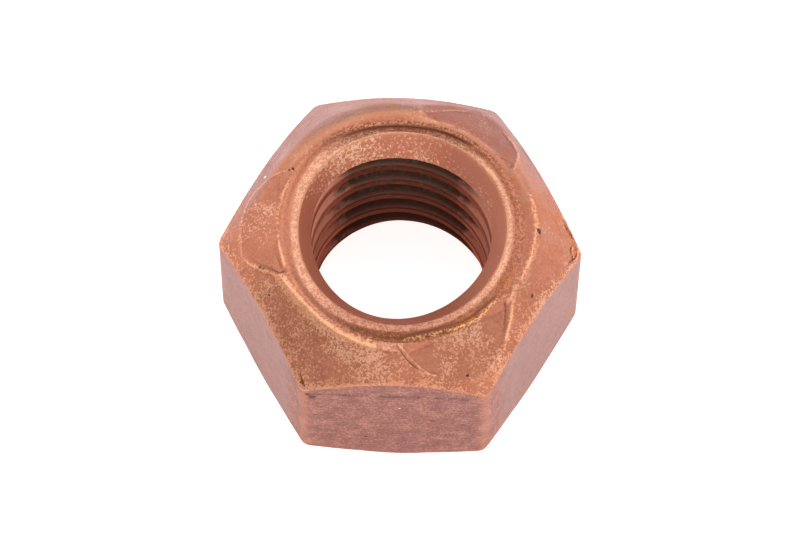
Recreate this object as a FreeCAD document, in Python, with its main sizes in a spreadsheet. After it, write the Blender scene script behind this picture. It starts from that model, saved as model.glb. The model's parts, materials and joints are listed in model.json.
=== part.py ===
import FreeCAD, Part
import os
import Sketcher

# All-metal lock nut, M8, in plated steel: one forged, pressed and tapped piece.
# Millimetres. The origin is the centre of the bearing face, and +Z runs up the thread's axis.
# Two corners of the hexagon lie on the X axis. The crimps stand at every other corner.

# Driving sizes: alias, value, meaning.
SIZES = (
    ("across_flats", 12.0, "between opposite flats"),
    ("nut_height", 7.8, "bearing face to the top of the crest"),
    ("corner_rounding", 0.4, "radius of the six upright edges"),
    ("fold_diameter", 10.06, "where the pressed top turns into the cone"),
    ("fold_drop", 0.08, "that turn below the top of the crest, before it is rounded"),
    ("fold_rounding", 0.35, "radius of that turn"),
    ("cone_angle", 44.0, "fall of the cone from level, degrees"),
    ("bearing_diameter", 11.16, "flat ring that rests on the work"),
    ("bearing_chamfer_angle", 27.0, "rise of the lower chamfer from level, degrees"),
    ("thread_minor_diameter", 6.647, "bore over the crests of the thread, M8 x 1.25"),
    ("thread_pitch", 1.25, "rise of the thread in one turn"),
    ("thread_lead_in", 1.046, "start of the thread's groove below the bearing face"),
    ("lower_mouth_diameter", 8.7, "lower countersink at the bearing face"),
    ("upper_mouth_diameter", 8.18, "upper countersink at the top of the crest"),
    ("lower_mouth_half_angle", 36.0, "wall of the lower countersink from the axis, degrees"),
    ("upper_mouth_half_angle", 45.0, "wall of the upper countersink from the axis, degrees"),
    ("crest_diameter", 8.6, "outer edge of the crest round the bore"),
    ("crest_rounding", 0.2, "radius of both edges of the crest"),
    ("valley_diameter", 9.1, "bottom of the valley between crest and fold"),
    ("valley_depth", 0.24, "valley below the top of the crest"),
    ("valley_rounding", 0.25, "radius in the bottom of the valley"),
    ("crimp_count", 3, "crimps that squeeze the upper threads"),
    ("crimp_reach", 6.17, "axis to the outer tip of a crimp's facet"),
    ("crimp_slope", 34.0, "fall of a crimp's facet from level, degrees"),
    ("collar_diameter", 9.5, "what the crimping jaws leave standing"),
)

# Half the angle at the centre that one side of a hexagon takes, in degrees.
HALF_SIDE_ANGLE = "30"
HEXAGON_SIDES = 6
FULL_TURN_ANGLE = 360
ON_AXIS = "0"
# Half the angle between the flanks of a metric thread, in degrees.
FLANK_ANGLE = "30"
# Shares of the pitch: the thread's depth, half its flat root, and how far the cut reaches into the bore.
THREAD_DEPTH_SHARE = "0.54127"
ROOT_SHARE = "0.0625"
OVERCUT_SHARE = "0.05"
# A feature that changes the solid by less, in cubic millimetres, has failed.
SMALLEST_CHANGE = 1e-6
# Least upright part of an upright edge's direction.
UPRIGHT_RATIO = 0.999999

# Formulas that more than one feature uses, in the sheet's own names.
FOLD_RADIUS = "Sizes.fold_diameter / 2"
FOLD_HEIGHT = "(Sizes.nut_height - Sizes.fold_drop)"
CORNER_RADIUS = f"Sizes.across_flats / (2 * cos({HALF_SIDE_ANGLE}))"
COLLAR_RADIUS = "Sizes.collar_diameter / 2"
COLLAR_FOOT = "Sizes.nut_height / 2"
BORE_RADIUS = "Sizes.thread_minor_diameter / 2"
THREAD_DEPTH = f"Sizes.thread_pitch * {THREAD_DEPTH_SHARE}"
ROOT_RADIUS = f"({BORE_RADIUS} + {THREAD_DEPTH})"
ROOT_HALF = f"Sizes.thread_pitch * {ROOT_SHARE}"
OVERCUT = f"Sizes.thread_pitch * {OVERCUT_SHARE}"
CUT_HALF = f"({ROOT_HALF} + ({THREAD_DEPTH} + {OVERCUT}) * tan({FLANK_ANGLE}))"
LOWER_MOUTH_RADIUS = "Sizes.lower_mouth_diameter / 2"
UPPER_MOUTH_RADIUS = "Sizes.upper_mouth_diameter / 2"
VALLEY_RADIUS = "Sizes.valley_diameter / 2"
VALLEY_HEIGHT = "(Sizes.nut_height - Sizes.valley_depth)"
FOLD_WALL_RISE = f"({FOLD_HEIGHT} - {VALLEY_HEIGHT}) / ({FOLD_RADIUS} - {VALLEY_RADIUS})"
COLLAR_EDGE_HEIGHT = f"({VALLEY_HEIGHT} + ({COLLAR_RADIUS} - {VALLEY_RADIUS}) * {FOLD_WALL_RISE})"
OUTER_RADIUS = f"({CORNER_RADIUS} + Sizes.corner_rounding)"
CRIMP_TIP_HEIGHT = f"({FOLD_HEIGHT} - (Sizes.crimp_reach - {FOLD_RADIUS}) * tan(Sizes.cone_angle))"


def cone_height(radius):
    """Formula for the height of the cone at a radius."""
    return f"{FOLD_HEIGHT} - ({radius} - {FOLD_RADIUS}) * tan(Sizes.cone_angle)"


def make_sheet(document):
    """Put the driving sizes in a spreadsheet, each under its alias."""
    sheet = document.addObject("Spreadsheet::Sheet", "Sizes")
    for row, (alias, value, meaning) in enumerate(SIZES, start=1):
        sheet.set(f"A{row}", meaning)
        sheet.set(f"B{row}", str(value))
        sheet.setAlias(f"B{row}", alias)
    document.recompute()
    return sheet


def origin_feature(body, role):
    """Find one of the body's own planes or axes by its role."""
    return next(item for item in body.Origin.OriginFeatures if item.Role == role)


def start_sketch(body, name, role):
    """Attach an empty sketch to one of the body's own planes."""
    sketch = body.newObject("Sketcher::SketchObject", name)
    sketch.AttachmentSupport = (origin_feature(body, role), [""])
    sketch.MapMode = "FlatFace"
    return sketch


def tie_point(sketch, index, kind, formula, side):
    """Hold the start of line index at a formula's distance from an axis."""
    axis = {"DistanceX": -2, "DistanceY": -1}[kind]
    if formula == ON_AXIS:
        sketch.addConstraint(Sketcher.Constraint("PointOnObject", index, 1, axis))
        return
    value = float(sketch.evalExpression(formula))
    ends = (-1, 1, index, 1) if side > 0 else (index, 1, -1, 1)
    number = sketch.addConstraint(Sketcher.Constraint(kind, *ends, value))
    name = f"{kind}{index}"
    sketch.renameConstraint(number, name)
    sketch.setExpression(f"Constraints.{name}", formula)


def round_corner(sketch, index, formula):
    """Round the corner where line index starts, with a radius that follows a formula."""
    radius = float(sketch.evalExpression(formula))
    arc_number = sketch.GeometryCount
    sketch.fillet(index, 1, radius, True, True)
    number = sketch.addConstraint(Sketcher.Constraint("Radius", arc_number, radius))
    name = f"Rounding{index}"
    sketch.renameConstraint(number, name)
    sketch.setExpression(f"Constraints.{name}", formula)


def outline_sketch(body, name, role, corners, side=1):
    """Draw a closed outline whose corners follow formulas.

    A corner is its distance across, its height and, where it is rounded, its radius.
    A side of -1 draws the outline to the left of the upright axis.
    """
    sketch = start_sketch(body, name, role)
    points = []
    for across, up, *rounding in corners:
        place = (side * float(sketch.evalExpression(across)), float(sketch.evalExpression(up)), 0.0)
        points.append(FreeCAD.Vector(*place))
    count = len(points)
    for index, point in enumerate(points):
        sketch.addGeometry(Part.LineSegment(point, points[(index + 1) % count]), False)
    for index in range(count):
        sketch.addConstraint(Sketcher.Constraint("Coincident", index, 2, (index + 1) % count, 1))
    for index, (across, up, *rounding) in enumerate(corners):
        tie_point(sketch, index, "DistanceX", across, side)
        tie_point(sketch, index, "DistanceY", up, 1)
    for index, (across, up, *rounding) in enumerate(corners):
        if rounding:
            round_corner(sketch, index, rounding[0])
    body.Document.recompute()
    return sketch


def hexagon_sketch(body):
    """Draw the hexagon with its corners on a circle and two of them on the X axis."""
    sketch = start_sketch(body, "HexagonOutline", "XY_Plane")
    radius = float(sketch.evalExpression(CORNER_RADIUS))
    places = [FreeCAD.Vector(radius, 0, 0)]
    for corner in range(1, HEXAGON_SIDES):
        turned = FreeCAD.Rotation(FreeCAD.Vector(0, 0, 1), FULL_TURN_ANGLE * corner / HEXAGON_SIDES)
        places.append(turned.multVec(places[0]))
    for corner, place in enumerate(places):
        sketch.addGeometry(Part.LineSegment(place, places[(corner + 1) % HEXAGON_SIDES]), False)
    circle = sketch.addGeometry(Part.Circle(FreeCAD.Vector(), FreeCAD.Vector(0, 0, 1), radius), True)
    sketch.addConstraint(Sketcher.Constraint("Coincident", circle, 3, -1, 1))
    for corner in range(HEXAGON_SIDES):
        following = (corner + 1) % HEXAGON_SIDES
        sketch.addConstraint(Sketcher.Constraint("Coincident", corner, 2, following, 1))
        sketch.addConstraint(Sketcher.Constraint("PointOnObject", corner, 1, circle))
    for corner in range(1, HEXAGON_SIDES):
        sketch.addConstraint(Sketcher.Constraint("Equal", 0, corner))
    sketch.addConstraint(Sketcher.Constraint("PointOnObject", 0, 1, -1))
    size = sketch.addConstraint(Sketcher.Constraint("Radius", circle, radius))
    sketch.setExpression(f"Constraints[{size}]", CORNER_RADIUS)
    body.Document.recompute()
    return sketch


def turned_cut(body, name, sketch):
    """Cut an outline away all round the upright axis."""
    groove = body.newObject("PartDesign::Groove", name)
    groove.Profile = sketch
    groove.ReferenceAxis = (origin_feature(body, "Z_Axis"), [""])
    groove.Angle = FULL_TURN_ANGLE
    finish_feature(body, groove)
    return groove


def turned_ring(body, name, sketch):
    """Add an outline all round the upright axis."""
    ring = body.newObject("PartDesign::Revolution", name)
    ring.Profile = sketch
    ring.ReferenceAxis = (origin_feature(body, "Z_Axis"), [""])
    ring.Angle = FULL_TURN_ANGLE
    finish_feature(body, ring)
    return ring


def finish_feature(body, feature):
    """Recompute, make the feature the body's tip and see that it changed the solid."""
    body.Tip = feature
    body.Document.recompute()
    before = feature.BaseFeature.Shape.Volume if feature.BaseFeature else 0.0
    if abs(feature.Shape.Volume - before) < SMALLEST_CHANGE:
        raise RuntimeError(f"{feature.Name} changed nothing")


def rounded(body, name, edges, formula):
    """Round edges of the body's tip with a radius that follows a formula."""
    solid_before = body.Tip
    fillet = body.newObject("PartDesign::Fillet", name)
    fillet.Base = (solid_before, edges)
    fillet.Radius = float(body.evalExpression(formula))
    fillet.setExpression("Radius", formula)
    finish_feature(body, fillet)
    return fillet


def upright_edges(shape):
    """Names of the straight edges that run up and down."""
    names = []
    for number, edge in enumerate(shape.Edges, start=1):
        if isinstance(edge.Curve, Part.Line) and abs(edge.Curve.Direction.z) > UPRIGHT_RATIO:
            names.append(f"Edge{number}")
    return names


def make_blank(body):
    """Hexagonal blank with rounded upright edges."""
    pad = body.newObject("PartDesign::Pad", "Blank")
    pad.Profile = hexagon_sketch(body)
    pad.setExpression("Length", "Sizes.nut_height")
    finish_feature(body, pad)
    rounded(body, "UprightEdges", upright_edges(pad.Shape), "Sizes.corner_rounding")


def make_cone(body):
    """Forged cone, the fold at its top, and the chamfer under the flats."""
    corners = [
        (COLLAR_RADIUS, COLLAR_EDGE_HEIGHT),
        (FOLD_RADIUS, FOLD_HEIGHT, "Sizes.fold_rounding"),
        (OUTER_RADIUS, cone_height(OUTER_RADIUS)),
        (OUTER_RADIUS, "Sizes.nut_height"),
        (COLLAR_RADIUS, "Sizes.nut_height"),
    ]
    turned_cut(body, "Cone", outline_sketch(body, "ConeOutline", "XZ_Plane", corners))
    bearing_radius = "Sizes.bearing_diameter / 2"
    chamfer_rise = f"({OUTER_RADIUS} - {bearing_radius}) * tan(Sizes.bearing_chamfer_angle)"
    corners = [
        (bearing_radius, ON_AXIS),
        (OUTER_RADIUS, ON_AXIS),
        (OUTER_RADIUS, chamfer_rise),
    ]
    turned_cut(body, "BearingChamfer", outline_sketch(body, "ChamferOutline", "XZ_Plane", corners))


def make_crimps(body):
    """Flat facets pressed into the cone beside every other corner."""
    fall = "tan(Sizes.crimp_slope)"
    corners = [
        (f"Sizes.crimp_reach - (Sizes.nut_height - {CRIMP_TIP_HEIGHT}) / {fall}", "Sizes.nut_height"),
        (OUTER_RADIUS, f"{CRIMP_TIP_HEIGHT} - ({OUTER_RADIUS} - Sizes.crimp_reach) * {fall}"),
        (OUTER_RADIUS, "Sizes.nut_height"),
    ]
    crimp = body.newObject("PartDesign::Pocket", "Crimp")
    crimp.Profile = outline_sketch(body, "CrimpOutline", "XZ_Plane", corners, side=-1)
    crimp.Midplane = True
    crimp.setExpression("Length", "Sizes.across_flats")
    finish_feature(body, crimp)
    pattern = body.newObject("PartDesign::PolarPattern", "Crimps")
    pattern.Originals = [crimp]
    pattern.Axis = (origin_feature(body, "Z_Axis"), [""])
    pattern.Angle = FULL_TURN_ANGLE
    pattern.setExpression("Occurrences", "Sizes.crimp_count")
    finish_feature(body, pattern)


def make_bore(body):
    """Bore with its lower countersink, and room above it for the collar."""
    corners = [
        (ON_AXIS, ON_AXIS),
        (LOWER_MOUTH_RADIUS, ON_AXIS),
        (BORE_RADIUS, f"({LOWER_MOUTH_RADIUS} - {BORE_RADIUS}) / tan(Sizes.lower_mouth_half_angle)"),
        (BORE_RADIUS, COLLAR_FOOT),
        (COLLAR_RADIUS, COLLAR_FOOT),
        (COLLAR_RADIUS, "Sizes.nut_height"),
        (ON_AXIS, "Sizes.nut_height"),
    ]
    turned_cut(body, "Bore", outline_sketch(body, "BoreOutline", "XZ_Plane", corners))


def make_collar(body):
    """Collar that the jaws leave standing: countersink, crest and valley."""
    mouth_depth = f"({UPPER_MOUTH_RADIUS} - {BORE_RADIUS}) / tan(Sizes.upper_mouth_half_angle)"
    corners = [
        (BORE_RADIUS, COLLAR_FOOT),
        (COLLAR_RADIUS, COLLAR_FOOT),
        (COLLAR_RADIUS, COLLAR_EDGE_HEIGHT),
        (VALLEY_RADIUS, VALLEY_HEIGHT, "Sizes.valley_rounding"),
        ("Sizes.crest_diameter / 2", "Sizes.nut_height", "Sizes.crest_rounding"),
        (UPPER_MOUTH_RADIUS, "Sizes.nut_height", "Sizes.crest_rounding"),
        (BORE_RADIUS, f"Sizes.nut_height - {mouth_depth}"),
    ]
    turned_ring(body, "Collar", outline_sketch(body, "CollarOutline", "XZ_Plane", corners))


def make_thread(body):
    """Right-hand metric thread, cut from below the bearing face to above the crest."""
    inner_radius = f"({BORE_RADIUS} - {OVERCUT})"
    corners = [
        (inner_radius, f"-Sizes.thread_lead_in - {CUT_HALF}"),
        (ROOT_RADIUS, f"-Sizes.thread_lead_in - {ROOT_HALF}"),
        (ROOT_RADIUS, f"-Sizes.thread_lead_in + {ROOT_HALF}"),
        (inner_radius, f"-Sizes.thread_lead_in + {CUT_HALF}"),
    ]
    thread = body.newObject("PartDesign::SubtractiveHelix", "Thread")
    thread.Profile = outline_sketch(body, "ThreadOutline", "XZ_Plane", corners)
    thread.ReferenceAxis = (origin_feature(body, "Z_Axis"), [""])
    thread.Mode = "pitch-height-angle"
    thread.setExpression("Pitch", "Sizes.thread_pitch")
    thread.setExpression("Height", "Sizes.nut_height + Sizes.thread_lead_in + Sizes.thread_pitch / 2")
    finish_feature(body, thread)


def make_lock_nut(document):
    """The whole nut, as one body at the origin."""
    body = document.addObject("PartDesign::Body", "LockNut")
    body.Label = "lock_nut"
    body.Placement = FreeCAD.Placement()
    document.recompute()
    make_blank(body)
    make_cone(body)
    make_crimps(body)
    make_bore(body)
    make_collar(body)
    make_thread(body)
    return body


def check_document(document, body):
    """Stop if any object failed or the nut isn't one valid solid."""
    for item in document.Objects:
        if "Invalid" in item.State or "Error" in item.State:
            raise RuntimeError(f"{item.Label} failed to recompute")
    if body.Shape.isNull() or not body.Shape.isValid():
        raise RuntimeError(f"{body.Label} has no valid shape")
    if len(body.Shape.Solids) != 1:
        raise RuntimeError(f"{body.Label} is {len(body.Shape.Solids)} solids")


def main():
    """Build the nut and write it as a STEP file."""
    os.makedirs("parts", exist_ok=True)
    document = FreeCAD.newDocument("LockNutModel")
    make_sheet(document)
    nut = make_lock_nut(document)
    document.recompute()
    check_document(document, nut)
    box = nut.Shape.optimalBoundingBox(False)
    print(f"{nut.Label}: {box.XLength:.3f} x {box.YLength:.3f} x {box.ZLength:.3f} mm")
    print(f"volume {nut.Shape.Volume:.3f} mm3, {len(nut.Shape.Faces)} faces")
    nut.Shape.exportStep(f"parts/{nut.Label}.step")


main()
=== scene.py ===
"""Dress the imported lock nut: real thread, crimped collar, worn copper plating and a plain studio."""
import json
import logging
import math
from dataclasses import dataclass, field
from enum import Enum
from typing import ClassVar

import bpy
import numpy as np
from mathutils import Matrix, Vector


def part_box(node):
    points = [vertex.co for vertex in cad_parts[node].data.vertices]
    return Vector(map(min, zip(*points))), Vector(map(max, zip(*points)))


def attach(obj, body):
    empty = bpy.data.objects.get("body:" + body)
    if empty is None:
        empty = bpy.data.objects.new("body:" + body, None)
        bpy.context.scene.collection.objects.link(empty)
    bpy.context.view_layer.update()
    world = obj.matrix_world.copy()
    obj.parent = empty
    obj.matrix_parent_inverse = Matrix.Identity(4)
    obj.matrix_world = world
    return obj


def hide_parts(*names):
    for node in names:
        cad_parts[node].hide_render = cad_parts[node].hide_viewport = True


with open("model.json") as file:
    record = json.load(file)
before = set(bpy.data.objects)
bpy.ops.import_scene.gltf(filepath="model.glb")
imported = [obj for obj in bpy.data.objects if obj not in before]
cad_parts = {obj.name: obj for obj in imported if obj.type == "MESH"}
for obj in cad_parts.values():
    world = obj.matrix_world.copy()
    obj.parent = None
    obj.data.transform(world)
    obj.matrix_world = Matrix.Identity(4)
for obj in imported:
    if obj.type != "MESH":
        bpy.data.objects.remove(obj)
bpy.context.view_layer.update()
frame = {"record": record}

LOG = logging.getLogger("lock_nut")
MM = 0.001
SIDES = 6
# Where the photo's view stands round the axis, in degrees past straight in front.
PHOTO_TURN = 1.4
# The photo camera's focal length in pixels of the photo.
FOCAL_PIXELS = 4500.0


class Zone(Enum):
    """Part of the nut's skin, as the name of its mask on the mesh."""

    THREAD = "thread"
    MOUTH = "mouth"
    CREST = "crest"
    VALLEY = "valley"
    CONE = "cone"
    SIDE = "side"
    UNDER = "under"


class Mask(Enum):
    """Other numbers that the trees and the finish read from the mesh."""

    BURNISH = "burnish"
    RIM = "rim"
    FACET = "facet"
    LIP = "lip"
    CREASE = "crease"
    SMEARED = "smeared"
    WORN = "worn"
    RELIEF = "relief"
    PHASE = "thread_phase"
    GROOVE = "groove"


def linear(red: int, green: int, blue: int) -> tuple[float, float, float, float]:
    """Turn an 8-bit display colour into the renderer's linear colour.

    Args:
        red: Red, 0 to 255.
        green: Green, 0 to 255.
        blue: Blue, 0 to 255.

    Returns:
        The linear colour with full alpha.
    """
    shares = [value / 255.0 for value in (red, green, blue)]
    red_share, green_share, blue_share = [
        share / 12.92 if share <= 0.04045 else ((share + 0.055) / 1.055) ** 2.4 for share in shares
    ]
    return (red_share, green_share, blue_share, 1.0)


def smooth_step(low: float, high: float, value: np.ndarray) -> np.ndarray:
    """Rise smoothly from 0 to 1 as value goes from low to high."""
    share = np.clip((value - low) / (high - low), 0.0, 1.0)
    return share * share * (3.0 - 2.0 * share)


def turn_from(middle: float, azimuth: np.ndarray) -> np.ndarray:
    """Signed turn in degrees from middle to azimuth, between -180 and 180."""
    return (azimuth - middle + 180.0) % 360.0 - 180.0


def bell(distance: np.ndarray, width: float) -> np.ndarray:
    """Bell curve, 1 at a distance of 0."""
    return np.exp(-((distance / width) ** 2))


def smooth_line(places: np.ndarray, steps: int = 5) -> np.ndarray:
    """Points of a smooth line through places.

    Args:
        places: The places in order, one row each.
        steps: Points on each run between two places.

    Returns:
        The points, ends included.
    """
    padded = np.concatenate([places[:1], places, places[-1:]])
    share = np.arange(steps)[:, None] / steps
    square, cube = share**2, share**3
    runs = []
    for before, start, end, after in zip(padded, padded[1:], padded[2:], padded[3:]):
        leaving, arriving = (end - before) / 2.0, (after - start) / 2.0
        run = start * (2.0 * cube - 3.0 * square + 1.0) + end * (3.0 * square - 2.0 * cube)
        runs.append(run + leaving * (cube - 2.0 * square + share) + arriving * (cube - square))
    return np.concatenate([*runs, places[-1:]])


class Signal:
    """A number that varies over a surface; arithmetic on it adds Math nodes."""

    def __init__(self, graph: "Graph", socket: bpy.types.NodeSocket) -> None:
        """Wrap one socket of a graph."""
        self.graph = graph
        self.socket = socket

    def maths(self, operation: str, *values: "Signal | float") -> "Signal":
        """Add a Math node.

        Args:
            operation: The node's operation.
            values: Its operands in order.

        Returns:
            The node's result.
        """
        node = self.graph.add("ShaderNodeMath", {"operation": operation}, dict(enumerate(values)))
        return Signal(self.graph, node.outputs[0])

    def __add__(self, other: "Signal | float") -> "Signal":
        """Sum."""
        return self.maths("ADD", self, other)

    __radd__ = __add__

    def __sub__(self, other: "Signal | float") -> "Signal":
        """Difference."""
        return self.maths("SUBTRACT", self, other)

    def __rsub__(self, other: "Signal | float") -> "Signal":
        """Difference from another value."""
        return self.maths("SUBTRACT", other, self)

    def __neg__(self) -> "Signal":
        """Opposite."""
        return self.maths("SUBTRACT", 0.0, self)

    def __mul__(self, other: "Signal | float") -> "Signal":
        """Product."""
        return self.maths("MULTIPLY", self, other)

    __rmul__ = __mul__

    def __truediv__(self, other: "Signal | float") -> "Signal":
        """Quotient."""
        return self.maths("DIVIDE", self, other)

    def __pow__(self, power: float) -> "Signal":
        """Power."""
        return self.maths("POWER", self, power)

    def least(self, other: "Signal | float") -> "Signal":
        """Smaller of two."""
        return self.maths("MINIMUM", self, other)

    def most(self, other: "Signal | float") -> "Signal":
        """Larger of two."""
        return self.maths("MAXIMUM", self, other)

    def clamped(self) -> "Signal":
        """Kept between 0 and 1."""
        return self.most(0.0).least(1.0)

    def step(self, low: float, high: float) -> "Signal":
        """Rise smoothly from 0 to 1, or fall where low is the higher value.

        Args:
            low: Value where the result is 0.
            high: Value where it is 1.

        Returns:
            The step.
        """
        ends = {"Value": self, "From Min": min(low, high), "From Max": max(low, high)}
        rise = self.graph.signal("ShaderNodeMapRange", {"interpolation_type": "SMOOTHSTEP"}, ends)
        return rise if low < high else 1.0 - rise


class Graph:
    """Adds nodes to a shader or geometry tree."""

    MIX_UNDER, MIX_OVER, MIX_RESULT = 6, 7, 2

    def __init__(self, tree: bpy.types.NodeTree) -> None:
        """Start on an empty tree."""
        self.tree = tree
        self.tree.nodes.clear()

    def add(self, kind: str, settings: dict | None = None, sockets: dict | None = None) -> bpy.types.Node:
        """Add one node.

        Args:
            kind: The node's type.
            settings: Properties, set first; "stops" fills a colour ramp with place and colour pairs.
            sockets: Value or link for each input, by name or number.

        Returns:
            The node.
        """
        node = self.tree.nodes.new(kind)
        for name, value in (settings or {}).items():
            if name != "stops":
                setattr(node, name, value)
                continue
            elements = node.color_ramp.elements
            while len(elements) < len(value):
                elements.new(1.0)
            for element, (place, colour) in zip(elements, value):
                element.position = place
                element.color = colour
        for key, value in (sockets or {}).items():
            source = value.socket if isinstance(value, Signal) else value
            if isinstance(source, bpy.types.NodeSocket):
                self.tree.links.new(source, node.inputs[key])
            else:
                node.inputs[key].default_value = source
        return node

    def signal(
        self, kind: str, settings: dict | None = None, sockets: dict | None = None, out: int | str = 0
    ) -> Signal:
        """Add one node and wrap one of its outputs."""
        return Signal(self, self.add(kind, settings, sockets).outputs[out])

    def mix(self, share: Signal | float, under: object, over: object) -> bpy.types.NodeSocket:
        """Mix two colours.

        Args:
            share: How much of the upper colour shows.
            under: Lower colour, a value or a socket.
            over: Upper colour, a value or a socket.

        Returns:
            The mixed colour's socket.
        """
        settings = {"data_type": "RGBA"}
        sockets = {0: share, self.MIX_UNDER: under, self.MIX_OVER: over}
        return self.add("ShaderNodeMix", settings, sockets).outputs[self.MIX_RESULT]


class ShapeTree(Graph):
    """A Geometry Nodes tree that is run once on a mesh and turned back into a plain mesh."""

    def __init__(self, name: str, numbers: dict[str, float]) -> None:
        """Start a tree.

        Args:
            name: The tree's name.
            numbers: Its named inputs with their values.
        """
        super().__init__(bpy.data.node_groups.new(name, "GeometryNodeTree"))
        face = self.tree.interface
        face.new_socket("Geometry", in_out="INPUT", socket_type="NodeSocketGeometry")
        face.new_socket("Geometry", in_out="OUTPUT", socket_type="NodeSocketGeometry")
        self.values = {"Finish": None, **numbers}
        face.new_socket("Finish", in_out="INPUT", socket_type="NodeSocketMaterial")
        for label in numbers:
            face.new_socket(label, in_out="INPUT", socket_type="NodeSocketFloat")
        self.entry = self.add("NodeGroupInput")

    def number(self, label: str) -> Signal:
        """One named input."""
        return Signal(self, self.entry.outputs[label])

    def stored(self, part: Zone | Mask) -> Signal:
        """A number stored on the mesh."""
        return self.signal("GeometryNodeInputNamedAttribute", {"data_type": "FLOAT"}, {"Name": part.value})

    def close(self, geometry: bpy.types.NodeSocket) -> None:
        """Finish the tree: realise, give the finish, and put out.

        Args:
            geometry: What the tree has made.
        """
        real = self.add("GeometryNodeRealizeInstances", None, {"Geometry": geometry})
        faced = self.add(
            "GeometryNodeSetMaterial", None,
            {"Geometry": real.outputs[0], "Material": self.entry.outputs["Finish"]},
        )
        self.add("NodeGroupOutput", None, {"Geometry": faced.outputs[0]})

    def apply(self, piece: bpy.types.Object, finish: bpy.types.Material) -> None:
        """Run the tree on a piece and keep the result as the piece's plain mesh.

        Args:
            piece: The piece, whose mesh is replaced.
            finish: Material that the tree gives.
        """
        modifier = piece.modifiers.new(self.tree.name, "NODES")
        modifier.node_group = self.tree
        self.values["Finish"] = finish
        for item in self.tree.interface.items_tree:
            if item.in_out == "INPUT" and item.name in self.values:
                modifier[item.identifier] = self.values[item.name]
        bpy.context.view_layer.update()
        depsgraph = bpy.context.evaluated_depsgraph_get()
        mesh = bpy.data.meshes.new_from_object(
            piece.evaluated_get(depsgraph), preserve_all_data_layers=True, depsgraph=depsgraph
        )
        piece.modifiers.remove(modifier)
        piece.data = mesh


@dataclass(frozen=True)
class ThreadForm:
    """Right-hand metric thread; shares are of one pitch, from a crest's lower edge upwards."""

    pitch: float = 1.25 * MM
    depth: float = 0.6766 * MM
    crest_share: float = 0.25
    flank_share: float = 0.3125
    crest_foot: float = 5.99 * MM
    crest_foot_azimuth: float = 90.0 + PHOTO_TURN
    rows: tuple[float, ...] = (
        0.0, 0.03, 0.13, 0.22, 0.25, 0.28, 0.37, 0.47, 0.5625, 0.60, 0.65, 0.6875, 0.79, 0.9, 0.97,
    )

    def height_at(self, turns: float, azimuth: np.ndarray) -> np.ndarray:
        """Height of a helix that starts so many turns above a crest's foot."""
        climb = (azimuth - self.crest_foot_azimuth) / 360.0
        return self.crest_foot + self.pitch * (turns + climb)

    def phase(self, height: np.ndarray, azimuth: np.ndarray) -> np.ndarray:
        """Share of the pitch above the crest foot below."""
        climb = (azimuth - self.crest_foot_azimuth) / 360.0
        return ((height - self.crest_foot) / self.pitch - climb) % 1.0


@dataclass(frozen=True)
class Crimp:
    """Facet that one jaw pressed into the cone and the fold; span and ends are turns to either side."""

    azimuth: float
    inner: float
    reach: float
    slope: float
    wall: float = 0.08 * MM
    press: float = 0.19 * MM
    span: float = 60.0
    press_ends: tuple[float, float] = (23.0, 30.0)
    smeared_ends: tuple[float, float] = (9.0, 17.0)
    edge_depth: float = 0.05 * MM


@dataclass(frozen=True)
class Welt:
    """Line raised or sunk in the forged top, in millimetres; a place is an azimuth and a radius."""

    places: tuple[tuple[float, float], ...]
    height: float
    width: float
    # shine paints a pale lip, partly burnish and partly painted highlight.
    shine: float = 0.0
    # soil paints a dark crease, painted shade with some dirt.
    soil_and_shade: float = 0.0
    gilt: float = 0.0
    taper: float = 0.14

    def strength(self, east: np.ndarray, north: np.ndarray) -> np.ndarray:
        """How much of the line shows at places seen from above.

        Args:
            east: Distances along X.
            north: Distances along Y.

        Returns:
            Shares: 1 on the line, less over its width and towards its ends.
        """
        azimuth, radius = np.array(self.places).T
        turn = np.radians(azimuth)
        line = smooth_line(np.stack([radius * np.cos(turn), radius * np.sin(turn)], axis=1) * MM)
        strength = np.zeros_like(east)
        for number, (start, end) in enumerate(zip(line, line[1:])):
            run = end - start
            along = ((east - start[0]) * run[0] + (north - start[1]) * run[1]) / (run @ run)
            along = np.clip(along, 0.0, 1.0)
            gap = np.hypot(east - start[0] - along * run[0], north - start[1] - along * run[1])
            share = (number + along) / (len(line) - 1)
            fade = smooth_step(0.0, self.taper, share) * smooth_step(1.0, 1.0 - self.taper, share)
            strength = np.maximum(strength, bell(gap, self.width * MM) * fade)
        return strength


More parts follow.
